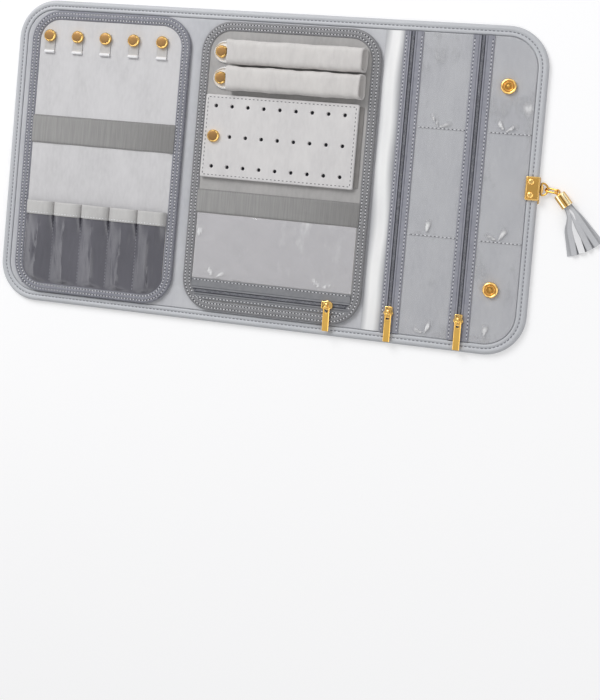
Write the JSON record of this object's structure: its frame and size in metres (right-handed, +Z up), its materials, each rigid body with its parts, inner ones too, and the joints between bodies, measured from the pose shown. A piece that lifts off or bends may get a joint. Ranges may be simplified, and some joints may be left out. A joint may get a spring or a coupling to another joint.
{
  "type": "jewelry roll",
  "caption": "Three-panel folding jewelry roll lying open: padded necklace and ring panels, clear zipped pockets, clasp and tassel.",
  "frame": {"origin": "centre of the middle panel's outer face, on the surface the open roll lies on", "axes": "+X the way the roll unfolds, from the necklace panel to the clasp; +Y along the closed case, towards the snaps of the necklace panel; +Z up out of the open roll"},
  "size_m": [0.4886, 0.25, 0.0183],
  "materials": {
    "cover_leather": "fine-grained grey faux leather, satin",
    "suede": "short-pile light grey faux suede",
    "board": "plain stiffening board, hidden",
    "left_binding": "blue-grey faux leather binding, double stitched",
    "right_binding": "dark grey faux leather binding, double stitched",
    "elastic": "ribbed woven elastic",
    "satin": "pleated dark grey satin",
    "pale_leather": "very light grey faux leather",
    "clear_film": "clear flexible vinyl film",
    "zip_tape": "blue-grey woven zip tape with nylon coil",
    "gold": "polished gold plating",
    "tassel_leather": "thin grey leather strips"
  },
  "bodies": {
    "middle_panel": {"cover_middle": "cover_leather", "board_middle": "board", "lining_middle": "suede", "frame_right": "right_binding", "pad_right": "suede", "elastic_right": "elastic", "clear_pocket": "clear_film", "pocket_zip_tape": "zip_tape"},
    "left_spine": {"spine_left_cover": "cover_leather", "spine_left_lining": "suede"},
    "left_panel": {"cover_left": "cover_leather", "board_left": "board", "lining_left": "suede", "frame_left": "left_binding", "pad_left": "suede", "elastic_left": "elastic", "satin_pockets": "satin", "pocket_trim": "suede", "closure_stud_1": "gold", "closure_stud_2": "gold"},
    "right_spine": {"spine_right_cover": "cover_leather", "spine_right_lining": "suede"},
    "flap": {"cover_flap": "cover_leather", "board_flap": "board", "lining_flap": "suede", "first_zip_tape": "zip_tape", "second_zip_tape": "zip_tape", "window_inner": "clear_film", "window_outer": "clear_film", "closure_socket_1": "gold", "closure_socket_2": "gold", "clasp_inner_plate": "gold", "clasp_outer_plate": "gold"},
    "tab_1": {"necklace_tab_1": "pale_leather", "necklace_snap_1": "gold"},
    "tab_2": {"necklace_tab_2": "pale_leather", "necklace_snap_2": "gold"},
    "tab_3": {"necklace_tab_3": "pale_leather", "necklace_snap_3": "gold"},
    "tab_4": {"necklace_tab_4": "pale_leather", "necklace_snap_4": "gold"},
    "tab_5": {"necklace_tab_5": "pale_leather", "necklace_snap_5": "gold"},
    "upper_ring_roll": {"ring_roll_upper": "pale_leather", "ring_snap_upper": "gold"},
    "lower_ring_roll": {"ring_roll_lower": "pale_leather", "ring_snap_lower": "gold"},
    "earring_leaf": {"earring_card": "pale_leather", "earring_snap": "gold"},
    "pocket_slider": {"pocket_zip_slider": "gold"},
    "pocket_puller": {"pocket_zip_puller": "gold"},
    "first_slider": {"first_zip_slider": "gold"},
    "first_puller": {"first_zip_puller": "gold"},
    "second_slider": {"second_zip_slider": "gold"},
    "second_puller": {"second_zip_puller": "gold"},
    "ring": {"d_ring": "gold"},
    "link": {"tassel_link": "gold"},
    "tassel": {"tassel_cap": "gold", "tassel_strips": "tassel_leather"}
  },
  "joints": [
    {"name": "left_fold", "type": "hinge", "parent": "middle_panel", "child": "left_panel", "pos_m": [-0.079, 0, 0.0155], "axis": [0, 1, 0], "range_deg": [0, 180]},
    {"name": "left_spine_bend", "type": "hinge", "parent": "middle_panel", "child": "left_spine", "pos_m": [-0.079, 0, 0.0155], "axis": [0, 1, 0], "range_deg": [0, 90]},
    {"name": "flap_fold", "type": "hinge", "parent": "middle_panel", "child": "flap", "pos_m": [0.0815, 0, 0.0205], "axis": [0, -1, 0], "range_deg": [0, 180]},
    {"name": "right_spine_bend", "type": "hinge", "parent": "middle_panel", "child": "right_spine", "pos_m": [0.0815, 0, 0.0205], "axis": [0, -1, 0], "range_deg": [0, 90]},
    {"name": "tab_1_fold", "type": "hinge", "parent": "left_panel", "child": "tab_1", "pos_m": [-0.20673, 0.0818, 0.0084], "axis": [-1, 0, 0], "range_deg": [-150, 0]},
    {"name": "tab_2_fold", "type": "hinge", "parent": "left_panel", "child": "tab_2", "pos_m": [-0.18199, 0.0818, 0.0084], "axis": [-1, 0, 0], "range_deg": [-150, 0]},
    {"name": "tab_3_fold", "type": "hinge", "parent": "left_panel", "child": "tab_3", "pos_m": [-0.15725, 0.0818, 0.0084], "axis": [-1, 0, 0], "range_deg": [-150, 0]},
    {"name": "tab_4_fold", "type": "hinge", "parent": "left_panel", "child": "tab_4", "pos_m": [-0.13251, 0.0818, 0.0084], "axis": [-1, 0, 0], "range_deg": [-150, 0]},
    {"name": "tab_5_fold", "type": "hinge", "parent": "left_panel", "child": "tab_5", "pos_m": [-0.10777, 0.0818, 0.0084], "axis": [-1, 0, 0], "range_deg": [-150, 0]},
    {"name": "upper_roll_lift", "type": "hinge", "parent": "middle_panel", "child": "upper_ring_roll", "pos_m": [0.0628, 0.091, 0.0079], "axis": [0, -1, 0], "range_deg": [-100, 0]},
    {"name": "lower_roll_lift", "type": "hinge", "parent": "middle_panel", "child": "lower_ring_roll", "pos_m": [0.0628, 0.0702, 0.0079], "axis": [0, -1, 0], "range_deg": [-100, 0]},
    {"name": "card_turn", "type": "hinge", "parent": "middle_panel", "child": "earring_leaf", "pos_m": [0.0628, 0.0237, 0.0079], "axis": [0, -1, 0], "range_deg": [-125, 0]},
    {"name": "pocket_zip_slide", "type": "slide", "parent": "middle_panel", "child": "pocket_slider", "axis": [1, 0, 0], "range_m": [-0.095, 0]},
    {"name": "pocket_puller_swing", "type": "hinge", "parent": "pocket_slider", "child": "pocket_puller", "pos_m": [0.0473, -0.1005, 0.01105], "axis": [1, 0, 0], "range_deg": [-150, 0]},
    {"name": "first_zip_slide", "type": "slide", "parent": "flap", "child": "first_slider", "axis": [0, -1, 0], "range_m": [-0.199, 0]},
    {"name": "first_puller_swing", "type": "hinge", "parent": "first_slider", "child": "first_puller", "pos_m": [0.0957, -0.1007, 0.00825], "axis": [1, 0, 0], "range_deg": [-150, 0]},
    {"name": "second_zip_slide", "type": "slide", "parent": "flap", "child": "second_slider", "axis": [0, -1, 0], "range_m": [-0.199, 0]},
    {"name": "second_puller_swing", "type": "hinge", "parent": "second_slider", "child": "second_puller", "pos_m": [0.1499, -0.1007, 0.00825], "axis": [1, 0, 0], "range_deg": [-150, 0]},
    {"name": "d_ring_swing", "type": "hinge", "parent": "flap", "child": "ring", "pos_m": [0.2027, 0.004, 0.0026], "axis": [0, 1, 0], "range_deg": [-70, 0]},
    {"name": "link_swing", "type": "hinge", "parent": "ring", "child": "link", "pos_m": [0.20755, 0.004, 0.0026], "axis": [0, 0, 1], "range_deg": [-20, 20]},
    {"name": "tassel_swing", "type": "hinge", "parent": "link", "child": "tassel", "pos_m": [0.21485, 0.003, 0.0048], "axis": [0, 0, 1], "range_deg": [-16, 59]}
  ],
  "couplings": [
    {"joint": "left_spine_bend", "follows": "left_fold", "ratio": 0.5},
    {"joint": "right_spine_bend", "follows": "flap_fold", "ratio": 0.5}
  ]
}
